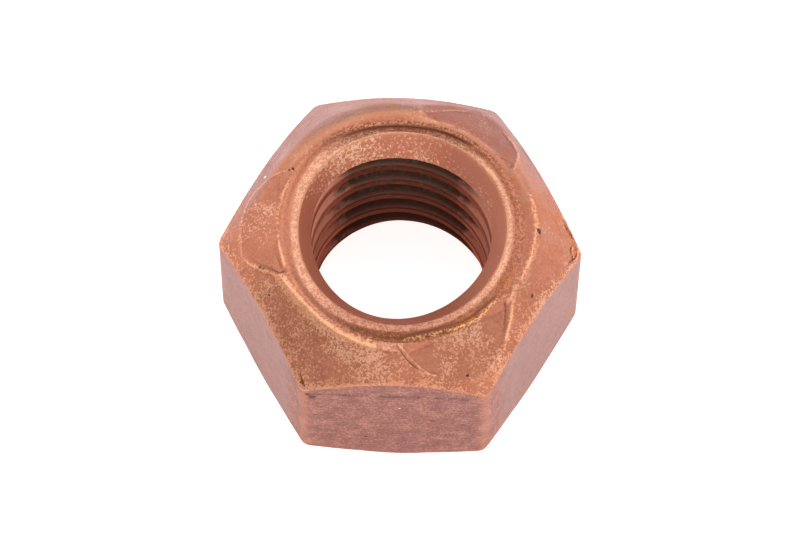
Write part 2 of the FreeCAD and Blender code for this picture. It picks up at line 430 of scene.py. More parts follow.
LEFT_CRIMP_WELTS = (
    Welt(((149.6, 4.70), (152.0, 4.95), (155.1, 5.23), (157.7, 5.47), (161.2, 5.67), (164.6, 5.85),
         (168.4, 5.95), (172.9, 6.03)), 0.025, 0.03, 0.85),
    Welt(((169.0, 5.98), (176.0, 6.04), (183.0, 6.03), (190.0, 5.98)), 0.008, 0.07, 0.6),
    Welt(((188.0, 6.02), (193.4, 5.76), (198.5, 5.38), (202.7, 5.11), (206.5, 4.92), (212.0, 4.83)),
         0.025, 0.055, 0.8),
    Welt(((191.5, 5.72), (197.5, 5.28), (202.0, 4.96), (204.5, 4.70)), -0.03, 0.035, 0.0, 0.6),
    Welt(((152.5, 4.67), (160.0, 4.66), (170.0, 4.66), (180.0, 4.64), (190.0, 4.57), (198.0, 4.55),
         (205.0, 4.62)), 0.03, 0.075, 1.0),
)
FRONT_CRIMP_WELTS = (
    Welt(((270.6, 4.58), (274.0, 5.03), (277.2, 5.32), (280.2, 5.56), (283.1, 5.75), (287.0, 5.90)),
         0.03, 0.035, 0.9),
    Welt(((269.4, 4.63), (272.8, 5.07), (276.2, 5.37), (279.2, 5.58)), -0.03, 0.035, 0.0, 0.7),
    Welt(((286.0, 5.88), (292.0, 6.08), (299.0, 6.20), (306.0, 6.15), (312.0, 5.95)), 0.004, 0.07, 0.3),
    Welt(((271.5, 4.57), (279.0, 4.47), (288.0, 4.46), (298.0, 4.52), (307.0, 4.62), (314.0, 4.61),
         (321.0, 4.59), (327.5, 4.66)), 0.015, 0.075, 0.3, 0.0, 1.0),
    Welt(((267.0, 4.58), (276.0, 4.38), (290.0, 4.33), (305.0, 4.43), (318.0, 4.44), (330.0, 4.56)),
         0.0, 0.08, 0.0, 0.55),
    Welt(((312.7, 5.92), (316.2, 5.69), (320.5, 5.48), (324.7, 5.24), (328.6, 4.99), (333.0, 4.93),
         (338.0, 4.96)), 0.045, 0.07, 1.0),
    Welt(((326.5, 4.74), (322.6, 5.05), (319.2, 5.30), (315.0, 5.56)), -0.04, 0.05, 0.0, 0.6),
)
BACK_CRIMP_WELTS = (
    Welt(((85.4, 4.86), (79.0, 4.79), (66.0, 4.78), (52.0, 4.80), (41.0, 4.84), (32.6, 4.88)), 0.02,
         0.05, 0.65),
    Welt(((126.0, 4.44), (108.0, 4.38), (90.0, 4.36), (70.0, 4.42), (50.0, 4.46)), -0.01, 0.13, 0.0,
         0.7),
    Welt(((85.8, 4.95), (81.0, 5.12), (76.0, 5.35), (70.5, 5.75), (65.0, 6.10)), 0.03, 0.04, 0.9),
    Welt(((31.0, 4.88), (35.0, 5.25), (39.0, 5.60), (45.0, 5.85), (52.0, 6.05)), 0.03, 0.06, 0.8),
)
# Painted highlights: wide pale bands along the fold where its rounding catches the light.
FOLD_WELTS = (
    Welt(((203.0, 5.00), (210.0, 4.84), (220.0, 4.83), (232.0, 4.85), (245.0, 4.87), (256.0, 4.88),
         (264.0, 5.00)), 0.004, 0.3, 0.85),
    Welt(((333.0, 4.93), (344.0, 4.98), (352.3, 5.05), (363.1, 5.13), (368.8, 5.11), (375.9, 5.11),
         (384.0, 5.05)), 0.008, 0.1, 0.75),
)
CORNER_LAPS = (
    Welt(((370.2, 6.36), (368.0, 6.41), (366.2, 6.52), (363.8, 6.64)), 0.05, 0.04, 0.9),
    Welt(((369.9, 6.24), (367.9, 6.28), (366.3, 6.41), (364.4, 6.54)), -0.06, 0.028, 0.0, 0.6),
    Welt(((363.4, 6.68), (361.2, 6.74), (358.0, 6.70), (356.0, 6.58)), 0.05, 0.045, 0.9),
    Welt(((361.6, 6.50), (359.2, 6.53), (357.6, 6.58)), 0.04, 0.035, 0.9),
    Welt(((363.2, 6.60), (360.2, 6.42), (358.6, 6.47), (357.2, 6.53), (355.1, 6.40), (352.0, 6.36)),
         -0.06, 0.028, 0.0, 0.65),
    Welt(((361.8, 6.58), (360.2, 6.66), (357.8, 6.63), (356.6, 6.53)), -0.05, 0.025, 0.0, 0.65),
    Welt(((236.4, 6.44), (238.2, 6.58), (240.4, 6.76)), -0.06, 0.04, 0.0, 0.8),
)


@dataclass(frozen=True)
class Swell:
    """Stretch round the axis where a ring is wider, deeper or more polished, or columns crowd."""

    azimuth: float
    width: float
    amount: float

    def at(self, azimuth: np.ndarray) -> np.ndarray:
        """How much it adds in every column."""
        return self.amount * bell(turn_from(self.azimuth, azimuth), self.width)


def swollen(base: float, swells: tuple[Swell, ...], azimuth: np.ndarray) -> np.ndarray:
    """A value in every column, with its swells."""
    return base + sum(swell.at(azimuth) for swell in swells)


@dataclass
class NutSizes:
    """Sizes of the nut in metres and degrees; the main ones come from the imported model."""

    across_flats: float
    height: float
    bore_radius: float
    mouth_edge: float
    upright_rounding: float = 0.4 * MM
    upright_width: float = 1.7
    upright_polish: float = 0.3
    fold_radius: float = 5.03 * MM
    fold_drop: float = 0.08 * MM
    fold_rounding: float = 0.32 * MM
    fold_polish_and_highlight: float = 0.25
    cone_angle: float = 44.0
    cone_edge_rounding: float = 0.13 * MM
    foot_rounding: float = 0.5 * MM
    bearing_radius: float = 5.76 * MM
    bearing_rounding: float = 0.1 * MM
    chamfer_angle: float = 26.0
    lower_mouth_radius: float = 4.35 * MM
    lower_mouth_angle: float = 36.0
    lower_mouth_rounding: float = 0.06 * MM
    thread_foot: float = 0.4 * MM
    rim_radius: float = 3.96 * MM
    rim_rounding: float = 0.13 * MM
    crest_radius: float = 4.27 * MM
    crest_rounding: float = 0.2 * MM
    valley_radius: float = 4.5 * MM
    valley_depth: float = 0.21 * MM
    valley_rounding: float = 0.2 * MM
    valley_share: float = 0.3
    worn_edge: float = 0.2 * MM
    lip_thickness: float = 0.06 * MM
    squeeze: float = 0.05 * MM
    three_lobes: float = 0.064 * MM
    three_lobes_azimuth: float = 15.5 + PHOTO_TURN
    two_lobes: float = 0.035 * MM
    thread: ThreadForm = field(default_factory=ThreadForm)
    crimps: tuple[Crimp, ...] = (
        Crimp(58.7, 4.80 * MM, 6.29 * MM, 34.0),
        Crimp(178.5, 4.68 * MM, 6.03 * MM, 32.4),
        Crimp(298.8, 4.56 * MM, 6.22 * MM, 33.7),
    )
    crimp_floor: tuple[float, float] = (0.45, 0.5)
    welts: tuple[Welt, ...] = (
        LEFT_CRIMP_WELTS + FRONT_CRIMP_WELTS + BACK_CRIMP_WELTS + FOLD_WELTS + CORNER_LAPS
    )
    welt_floor: tuple[float, float] = (0.65, 0.68)
    fold_swells: tuple[Swell, ...] = (
        Swell(224.0, 28.0, -0.27 * MM), Swell(2.0, 26.0, 0.13 * MM), Swell(108.0, 48.0, 0.25 * MM),
    )
    fold_drop_swells: tuple[Swell, ...] = (Swell(108.0, 48.0, 0.09 * MM),)
    fold_rounding_swells: tuple[Swell, ...] = (Swell(108.0, 48.0, 0.63 * MM),)
    fold_polish_and_highlight_swells: tuple[Swell, ...] = (Swell(228.0, 38.0, 0.9), Swell(-22.0, 30.0, 0.8))
    rim_swells: tuple[Swell, ...] = (Swell(176.0, 42.0, -0.12 * MM), Swell(22.0, 38.0, 0.08 * MM))
    rim_shine_swells: tuple[Swell, ...] = (Swell(272.0, 48.0, -0.85),)
    rim_gold_swells: tuple[Swell, ...] = (Swell(38.0, 30.0, 1.0),)
    crest_swells: tuple[Swell, ...] = (
        Swell(182.0, 24.0, -0.12 * MM), Swell(130.0, 22.0, 0.12 * MM),
        Swell(88.0, 24.0, -0.24 * MM), Swell(236.0, 30.0, 0.08 * MM),
    )
    valley_swells: tuple[Swell, ...] = (Swell(228.0, 34.0, -0.08 * MM), Swell(88.0, 30.0, 0.13 * MM))
    valley_depth_swells: tuple[Swell, ...] = (Swell(228.0, 34.0, -0.09 * MM),)

    @classmethod
    def from_frame(cls, node: str) -> "NutSizes":
        """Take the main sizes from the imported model.

        Args:
            node: Name of the nut's node.

        Returns:
            The sizes.
        """
        low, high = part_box(node)
        thread = next(item for item in frame["record"]["mounts"] if item["name"] == "thread")
        return cls(
            across_flats=high[1] - low[1],
            height=high[2] - low[2],
            bore_radius=thread["dims"]["r_mm"] * MM,
            mouth_edge=thread["pos_m"][2] + thread["dims"]["length_mm"] * MM / 2.0,
        )

    @property
    def lower_mouth_slope(self) -> float:
        """How fast the lower countersink narrows with height."""
        return math.tan(math.radians(self.lower_mouth_angle))

    def cone_height(self, radius: np.ndarray | float) -> np.ndarray | float:
        """Height of the forged cone at a radius."""
        drop = (radius - self.fold_radius) * math.tan(math.radians(self.cone_angle))
        return self.height - self.fold_drop - drop

    def side_radius(self, azimuth: np.ndarray) -> np.ndarray:
        """Distance from the axis to the rounded hexagon, which has a corner on +X.

        Args:
            azimuth: The columns in degrees.

        Returns:
            The distance in every column.
        """
        half_side = 180.0 / SIDES
        from_corner = np.abs((azimuth + half_side) % (2.0 * half_side) - half_side)
        apothem = self.across_flats / 2.0
        flat = apothem / np.cos(np.radians(half_side - from_corner))
        centre = (apothem - self.upright_rounding) / math.cos(math.radians(half_side))
        across = centre * np.sin(np.radians(from_corner))
        reach = np.sqrt(np.maximum(self.upright_rounding**2 - across**2, 0.0))
        rounded = centre * np.cos(np.radians(from_corner)) + reach
        tangent = math.degrees(math.atan2(centre * math.sin(math.radians(half_side)), apothem))
        return np.where(from_corner < half_side - tangent, rounded, flat)

    def lobes(self, azimuth: np.ndarray) -> np.ndarray:
        """How much wider than the bore the crimped mouth is in every column."""
        angles = [3.0 * (azimuth - self.three_lobes_azimuth), 2.0 * (azimuth - PHOTO_TURN)]
        return self.squeeze + np.array([self.three_lobes, self.two_lobes]) @ np.cos(np.radians(angles))


@dataclass(frozen=True)
class SectionCorner:
    """One corner of the nut's section: its place in every column, its rounding and its sampling."""

    radius: np.ndarray
    height: np.ndarray
    rounding: np.ndarray | float
    arc_steps: int
    run_steps: int
    zone: Zone
    burnish: np.ndarray | float = 0.0
    rim: np.ndarray | float = 0.0


class Skin:
    """Rings of points about the axis in columns of azimuth, with masks for each ring."""

    ROOM_SHARE = 0.75
    RIM_RINGS = 2

    def __init__(self, azimuth: np.ndarray) -> None:
        """Start an empty skin.

        Args:
            azimuth: Its columns in degrees.
        """
        self.azimuth = azimuth
        self.radius = np.zeros((0, len(azimuth)))
        self.height = np.zeros((0, len(azimuth)))
        self.rings: list[dict[Zone | Mask, np.ndarray | float]] = []
        self.extra: dict[Zone | Mask, np.ndarray] = {}

    def add_ring(
        self, radius: np.ndarray, height: np.ndarray, masks: dict[Zone | Mask, np.ndarray | float]
    ) -> None:
        """Add one ring with its masks.

        Args:
            radius: Distance from the axis in every column.
            height: Height in every column.
            masks: The ring's masks; the others are 0.
        """
        self.radius = np.vstack([self.radius, radius])
        self.height = np.vstack([self.height, height])
        self.rings.append(masks)

    def ring_ids(self, ring: int) -> np.ndarray:
        """Numbers of one ring's points."""
        return ring * len(self.azimuth) + np.arange(len(self.azimuth))

    def mask(self, part: Zone | Mask) -> np.ndarray:
        """One mask over all points.

        Args:
            part: The mask.

        Returns:
            Its value at each point; 0 on a ring that doesn't have it.
        """
        level = np.zeros(len(self.azimuth))
        values = np.array([level + ring.get(part, 0.0) for ring in self.rings])
        if part in self.extra:
            values[: len(self.extra[part])] = self.extra[part]
        return values

    def points(self) -> np.ndarray:
        """Places of all points, ring by ring."""
        east, north = np.cos(np.radians(self.azimuth)), np.sin(np.radians(self.azimuth))
        return np.stack([self.radius * east, self.radius * north, self.height], axis=2).reshape(-1, 3)

    @staticmethod
    def direction(start: np.ndarray, end: np.ndarray) -> np.ndarray:
        """Unit vectors from start to end in every column."""
        return (end - start) / Skin.distance(start, end)

    @staticmethod
    def distance(start: np.ndarray, end: np.ndarray) -> np.ndarray:
        """Distances from start to end in every column."""
        return np.sqrt(((end - start) ** 2).sum(0))

    def follow(self, corners: list[SectionCorner]) -> None:
        """Sample a section that runs through rounded corners.

        Args:
            corners: The corners in order; each one's run leads on to the next.
        """
        places = [np.stack([corner.radius, corner.height]) for corner in corners]
        left_at = places[0]
        for index in range(1, len(corners)):
            before, corner = corners[index - 1], corners[index]
            into = self.direction(places[index - 1], places[index])
            arrive = leave = places[index]
            if corner.arc_steps > 0:
                away = self.direction(places[index], places[index + 1])
                turn = np.arccos(np.clip((into * away).sum(0), -1.0, 1.0))
                room_before = self.distance(left_at, places[index])
                room_after = self.distance(places[index], places[index + 1]) * self.ROOM_SHARE
                reach = corner.rounding * np.tan(turn / 2.0)
                reach = np.minimum(reach, np.minimum(room_before, room_after))
                arrive, leave = places[index] - into * reach, places[index] + away * reach
            for step in range(before.run_steps):
                place = left_at + (arrive - left_at) * step / before.run_steps
                self.add_ring(place[0], place[1], {before.zone: 1.0})
            if corner.arc_steps > 0:
                self.bend(arrive, into, away, turn, reach, before, corner)
            left_at = leave
        self.add_ring(left_at[0], left_at[1], {corners[-1].zone: 1.0})

    def bend(
        self, start: np.ndarray, into: np.ndarray, away: np.ndarray, turn: np.ndarray,
        reach: np.ndarray, before: SectionCorner, corner: SectionCorner,
    ) -> None:
        """Sample one rounded corner.

        Args:
            start: Where the arc starts in every column.
            into: Direction of the run before it.
            away: Direction of the run after it.
            turn: Angle between the two.
            reach: Distance from the corner to where the arc starts.
            before: The corner whose run comes before.
            corner: The corner itself.
        """
        side = (away - into * np.cos(turn)) / np.sin(turn)
        rounding = reach / np.tan(turn / 2.0)
        for step in range(corner.arc_steps):
            share = step / corner.arc_steps
            place = start + rounding * (into * np.sin(turn * share) + side * (1.0 - np.cos(turn * share)))
            masks = {before.zone: 1.0 - share}
            masks[corner.zone] = masks.get(corner.zone, 0.0) + share
            masks[Mask.BURNISH] = corner.burnish * math.sin(math.pi * (step + 0.5) / corner.arc_steps)
            masks[Mask.RIM] = corner.rim * (step < self.RIM_RINGS)
            self.add_ring(place[0], place[1], masks)


@dataclass
class LockNut:
    """The nut in one piece: outer skin, crimps, countersinks and thread."""

    SWEEP_SAMPLES: ClassVar[int] = 7201
    ROUGHNESS: ClassVar[dict[Zone, float]] = {
        Zone.CREST: 0.7,
        Zone.VALLEY: 1.0,
        Zone.CONE: 1.0,
        Zone.SIDE: 0.5,
        Zone.UNDER: 0.15,
        Zone.MOUTH: 0.25,
    }
    PRESSED_SMOOTH: ClassVar[float] = 0.6

    sizes: NutSizes
    finish: bpy.types.Material
    name: str = "lock_nut_body"
    column_count: int = 468
    corner_crowding: Swell = Swell(0.0, 1.7, 2.4)
    crimp_crowding: Swell = Swell(22.0, 9.0, 1.1)
    edge_angle: float = 28.0

    def columns(self) -> np.ndarray:
        """Choose the columns, closer together at the corners and at the crimps' ends.

        Returns:
            Their azimuths in degrees.
        """
        sweep = np.linspace(0.0, 360.0, self.SWEEP_SAMPLES)
        crowd = np.ones_like(sweep)
        for corner in range(SIDES):
            crowd += self.corner_crowding.at(turn_from(corner * 360.0 / SIDES, sweep))
        for crimp in self.sizes.crimps:
            crowd += self.crimp_crowding.at(np.abs(turn_from(crimp.azimuth, sweep)))
        passed = np.concatenate([[0.0], np.cumsum((crowd[1:] + crowd[:-1]) / 2.0)])
        wanted = np.arange(self.column_count) / self.column_count * passed[-1]
        return np.interp(wanted, passed, sweep)

    def outer_skin(self, azimuth: np.ndarray) -> Skin:
        """Make the skin from the lip over the thread, over the top, down the sides and in underneath.

        Args:
            azimuth: The columns in degrees.

        Returns:
            The skin, before crimps and welts.
        """
        s = self.sizes
        level = np.zeros_like(azimuth)
        top, bearing, mouth = level + s.height, level + s.bearing_radius, level + s.lower_mouth_radius
        side = s.side_radius(azimuth)
        lip = s.bore_radius + s.lobes(azimuth)
        rim = swollen(s.rim_radius, s.rim_swells, azimuth)
        crest = swollen(s.crest_radius, s.crest_swells, azimuth)
        valley = crest + swollen(s.valley_radius - s.crest_radius, s.valley_swells, azimuth)
        fold = swollen(s.fold_radius, s.fold_swells, azimuth)
        depth = swollen(s.valley_depth, s.valley_depth_swells, azimuth)
        drop = swollen(s.fold_drop, s.fold_drop_swells, azimuth)
        edge = valley + (fold - valley) * s.valley_share
        edge_depth = depth + (drop - depth) * s.valley_share
        fold_rounding = swollen(s.fold_rounding, s.fold_rounding_swells, azimuth)
        # The fold's polish, strongest at the near left and the right, is partly painted highlight on its
        # rounding.
        polish = swollen(s.fold_polish_and_highlight, s.fold_polish_and_highlight_swells, azimuth)
        shine = swollen(1.0, s.rim_shine_swells, azimuth)
        gold = swollen(0.0, s.rim_gold_swells, azimuth)
        foot = (side - s.bearing_radius) * math.tan(math.radians(s.chamfer_angle))
        inner_foot = s.lower_mouth_radius - s.thread_foot * s.lower_mouth_slope
        skin = Skin(azimuth)
        skin.follow([
            SectionCorner(lip, level + s.mouth_edge, 0.0, 0, 9, Zone.MOUTH),
            SectionCorner(rim, top, s.rim_rounding, 5, 3, Zone.CREST, shine, gold),
            SectionCorner(crest, top, s.crest_rounding, 4, 2, Zone.VALLEY, 0.3 * shine),
            SectionCorner(valley, top - depth, s.valley_rounding, 5, 2, Zone.VALLEY),
            SectionCorner(edge, top - edge_depth, 0.0, 0, 2, Zone.CONE),
            SectionCorner(fold, top - drop, fold_rounding, 7, 32, Zone.CONE, polish),
            SectionCorner(side, s.cone_height(side), s.cone_edge_rounding, 5, 14, Zone.SIDE, 0.7),
            SectionCorner(side, foot, s.foot_rounding, 6, 5, Zone.UNDER, 0.3),
            SectionCorner(bearing, level, s.bearing_rounding, 3, 6, Zone.UNDER, 0.3),
            SectionCorner(mouth, level, s.lower_mouth_rounding, 3, 4, Zone.MOUTH, 0.3),
            SectionCorner(level + inner_foot, level + s.thread_foot, 0.0, 0, 0, Zone.MOUTH),
        ])
        return skin

    def press_crimps(self, skin: Skin) -> None:
        """Press the facets into the cone and the fold.

        Args:
            skin: The skin, which is changed.
        """
        s = self.sizes
        facet = np.zeros_like(skin.radius)
        smeared = np.zeros_like(skin.radius)
        upper = smooth_step(s.crimp_floor[0], s.crimp_floor[1], skin.height / s.height)
        for crimp in s.crimps:
            turn = turn_from(crimp.azimuth, skin.azimuth)
            across = np.cos(np.radians(turn))
            rise = math.tan(math.radians(crimp.slope))
            slope = s.cone_height(crimp.reach) + rise * (crimp.reach - skin.radius * across)
            level = s.height - crimp.press * (1.0 - smooth_step(*crimp.press_ends, np.abs(turn)))
            over = np.maximum(skin.height - np.minimum(slope, level), 0.0)
            over = over * upper * (np.abs(turn) < crimp.span)
            inside = smooth_step(crimp.inner - crimp.wall / 4.0, crimp.inner + crimp.wall, skin.radius)
            skin.height = skin.height - over * inside
            pressed = smooth_step(0.0, crimp.edge_depth, over) * inside
            facet = facet + pressed
            smeared = smeared + pressed * smooth_step(*crimp.smeared_ends, np.abs(turn))
        skin.extra[Mask.FACET] = facet
        skin.extra[Mask.SMEARED] = smeared

    def raise_welts(self, skin: Skin) -> None:
        """Raise the lips and bands of the top, sink its creases, and note what is polished or rough, the
        polish and lips partly painted highlight and the creases painted shade with some dirt.

        Args:
            skin: The skin, which is changed.
        """
        s = self.sizes
        turn = np.radians(skin.azimuth)
        east, north = skin.radius * np.cos(turn), skin.radius * np.sin(turn)
        upper = smooth_step(s.welt_floor[0], s.welt_floor[1], skin.height / s.height)
        lip = np.zeros_like(skin.radius)
        crease = np.zeros_like(skin.radius)
        gilt = skin.mask(Mask.RIM)
        for welt in s.welts:
            strength = welt.strength(east, north) * upper
            skin.height = skin.height + welt.height * MM * strength
            lip = np.maximum(lip * (1.0 - strength * (welt.soil_and_shade > 0.0)), welt.shine * strength)
            crease = np.maximum(crease, welt.soil_and_shade * strength)
            gilt = np.maximum(gilt, welt.gilt * strength)
        skin.extra[Mask.LIP] = lip
        skin.extra[Mask.CREASE] = crease
        skin.extra[Mask.RIM] = gilt
        inset = s.side_radius(skin.azimuth) - skin.radius
        skin.extra[Mask.WORN] = skin.mask(Zone.CONE) * bell(inset, s.worn_edge)
        half_side = 180.0 / SIDES
        from_corner = (skin.azimuth + half_side) % (2.0 * half_side) - half_side
        upright = skin.mask(Zone.SIDE) * bell(from_corner, s.upright_width) * s.upright_polish
        facet = skin.mask(Mask.FACET)
        skin.extra[Mask.BURNISH] = np.maximum(skin.mask(Mask.BURNISH) * (1.0 - facet), upright)
        relief = sum(skin.mask(zone) * share for zone, share in self.ROUGHNESS.items())
        skin.extra[Mask.RELIEF] = relief * (1.0 - self.PRESSED_SMOOTH * facet)

    def mesh(self) -> bpy.types.Mesh:
        """Build the closed mesh: the outer skin, and the bore in rows that climb with the thread.

        Returns:
            The mesh, its bore still plain.
        """
        skin = self.outer_skin(self.columns())
        self.press_crimps(skin)
        self.raise_welts(skin)
        foot_ring = len(skin.rings) - 1
        groove_top = self.sizes.mouth_edge - self.sizes.lip_thickness
        self.add_bore_ring(skin, np.full_like(skin.azimuth, groove_top))
        quads = [self.band(skin.ring_ids(ring), skin.ring_ids(ring + 1)) for ring in range(foot_ring)]
        quads.append(self.band(skin.ring_ids(foot_ring + 1), skin.ring_ids(0)))
        quads += self.climb_bore(skin, foot_ring, groove_top)
        parts = [*Zone, *(part for part in Mask if part is not Mask.GROOVE)]
        masks = {part.value: skin.mask(part).reshape(-1) for part in parts}
        return self.to_mesh(skin.points(), np.concatenate(quads), masks)

    def add_bore_ring(self, skin: Skin, level: np.ndarray) -> None:
        """Add one ring or climbing row of the bore.

        Args:
            skin: The skin, which is changed.
            level: Height of the new ring in every column.
        """
        s = self.sizes
        fade = smooth_step(s.thread_foot, s.mouth_edge, level)
        masks = {Zone.THREAD: 1.0, Mask.PHASE: s.thread.phase(level, skin.azimuth)}
        skin.add_ring(s.bore_radius + s.lobes(skin.azimuth) * fade, level, masks)

    def climb_bore(self, skin: Skin, foot_ring: int, groove_top: float) -> list[np.ndarray]:
        """Add the rows of the bore, which climb with the thread between its two ends.

        Args:
            skin: The skin, whose last ring is the bore's upper end.
            foot_ring: Number of the ring at the bore's lower end.
            groove_top: Height of its upper end.

        Returns:
            The faces between the rows.
        """
        s = self.sizes
        thread = s.thread
        lowest = math.floor((s.thread_foot - thread.height_at(0.0, 360.0)) / thread.pitch)
        highest = math.ceil((groove_top - thread.height_at(0.0, 0.0)) / thread.pitch)
        rows = []
        for turn in range(lowest, highest + 1):
            for share in thread.rows:
                level = thread.height_at(turn + share, skin.azimuth)
                self.add_bore_ring(skin, np.clip(level, s.thread_foot, groove_top))
                ids = skin.ring_ids(len(skin.rings) - 1)
                ids = np.where(level <= s.thread_foot, skin.ring_ids(foot_ring), ids)
                rows.append(np.where(level >= groove_top, skin.ring_ids(foot_ring + 1), ids))
        turn_on = len(thread.rows)
        quads = []
        for index in range(len(rows) - turn_on - 1):
            low = np.append(rows[index], rows[index + turn_on][0])
            high = np.append(rows[index + 1], rows[index + 1 + turn_on][0])
            quads.append(np.stack([low[:-1], high[:-1], high[1:], low[1:]], axis=1))
        return quads

    @staticmethod
    def band(first: np.ndarray, second: np.ndarray) -> np.ndarray:
        """Faces of a closed band between two rings."""
        return np.stack([first, second, np.roll(second, -1), np.roll(first, -1)], axis=1)

    def to_mesh(
        self, points: np.ndarray, quads: np.ndarray, masks: dict[str, np.ndarray]
    ) -> bpy.types.Mesh:
        """Turn points and faces into a Blender mesh.

        Args:
            points: Places of all points.
            quads: Four point numbers for each face; repeated numbers make a triangle or drop the face.
            masks: Value of each mask at each point.

        Returns:
            The mesh, with unused points left out.
        """
        faces = []
        for quad in quads.tolist():
            face = list(dict.fromkeys(quad))
            if len(face) > 2:
                faces.append(face)
        used = np.unique(np.concatenate([np.array(face) for face in faces]))
        renumber = np.full(len(points), -1)
        renumber[used] = np.arange(len(used))
        mesh = bpy.data.meshes.new(self.name)
        mesh.from_pydata(points[used].tolist(), [], [renumber[face].tolist() for face in faces])
        for name, values in masks.items():
            layer = mesh.attributes.new(name, "FLOAT", "POINT")
            layer.data.foreach_set("value", values[used].astype(np.float32))
        mesh.shade_smooth()
        return mesh

    def thread_tree(self) -> ShapeTree:
        """Make the tree that cuts the thread into the plain bore.

        Returns:
            The tree.
        """
        s = self.sizes
        tree = ShapeTree("CutThread", {
            "Depth": s.thread.depth,
            "Crest Share": s.thread.crest_share,
            "Flank Share": s.thread.flank_share,
            "Lower Mouth Radius": s.lower_mouth_radius,
            "Lower Mouth Slope": s.lower_mouth_slope,
        })
        phase, cut = tree.stored(Mask.PHASE), tree.stored(Zone.THREAD)
        place = tree.add("GeometryNodeInputPosition").outputs[0]
        axes = tree.add("ShaderNodeSeparateXYZ", None, {0: place})
        x, y, z = (Signal(tree, axis) for axis in axes.outputs)
        radius = (x * x + y * y) ** 0.5
        rising = (phase - tree.number("Crest Share")) / tree.number("Flank Share")
        falling = (1.0 - phase) / tree.number("Flank Share")
        groove = rising.least(falling).clamped()
        mouth = tree.number("Lower Mouth Radius") - z * tree.number("Lower Mouth Slope")
        wanted = (radius + groove * tree.number("Depth")).most(mouth)
        growth = (wanted / radius - 1.0) * cut
        offset = tree.add("ShaderNodeCombineXYZ", None, {0: x * growth, 1: y * growth, 2: 0.0}).outputs[0]
        noted = tree.add("GeometryNodeStoreNamedAttribute", {"data_type": "FLOAT", "domain": "POINT"}, {
            "Geometry": tree.entry.outputs["Geometry"],
            "Name": Mask.GROOVE.value,
            "Value": groove * cut,
        })
        moved = tree.add("GeometryNodeSetPosition", None, {"Geometry": noted.outputs[0], "Offset": offset})
        tree.close(moved.outputs[0])
        return tree

    def forging_tree(self) -> ShapeTree:
        """Make the tree that gives the skin the slight waves and grain of a forged, tumbled surface.

        Returns:
            The tree.
        """
        tree = ShapeTree("ForgedSkin", {
            "Wave Height": 0.045 * MM,
            "Waves Per Metre": 700.0,
            "Grain Height": 0.02 * MM,
            "Grains Per Metre": 3200.0,
            "Seed": 4.0,
        })
        place = tree.add("GeometryNodeInputPosition").outputs[0]
        normal = tree.add("GeometryNodeInputNormal").outputs[0]

        def ripple(size: str) -> Signal:
            """Noise about 0 at a named scale."""
            sockets = {"Vector": place, "W": tree.number("Seed"), "Scale": tree.number(size), "Detail": 3.0}
            return tree.signal("ShaderNodeTexNoise", {"noise_dimensions": "4D"}, sockets) - 0.5

        waves = ripple("Waves Per Metre") * tree.number("Wave Height")
        grain = ripple("Grains Per Metre") * tree.number("Grain Height")
        amount = (waves + grain) * tree.stored(Mask.RELIEF)
        offset = tree.add("ShaderNodeVectorMath", {"operation": "SCALE"}, {0: normal, "Scale": amount})
        source = tree.entry.outputs["Geometry"]
        moved = tree.add("GeometryNodeSetPosition", None, {"Geometry": source, "Offset": offset.outputs[0]})
        tree.close(moved.outputs[0])
        return tree

    def build(self) -> bpy.types.Object:
        """Build, thread, roughen and register the nut.

        Returns:
            The finished piece.
        """
        piece = bpy.data.objects.new(self.name, self.mesh())
        bpy.context.scene.collection.objects.link(piece)
        self.thread_tree().apply(piece, self.finish)
        self.forging_tree().apply(piece, self.finish)
        piece.data.set_sharp_from_angle(angle=math.radians(self.edge_angle))
        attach(piece, "root")
        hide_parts("lock_nut")
        LOG.info("%s: %d faces", piece.name, len(piece.data.polygons))
        return piece


@dataclass(frozen=True)
class Mark:
    """A pit or fleck: its place in millimetres, its radius, and its colour."""

    x: float
    y: float
    z: float
    radius: float
    colour: tuple


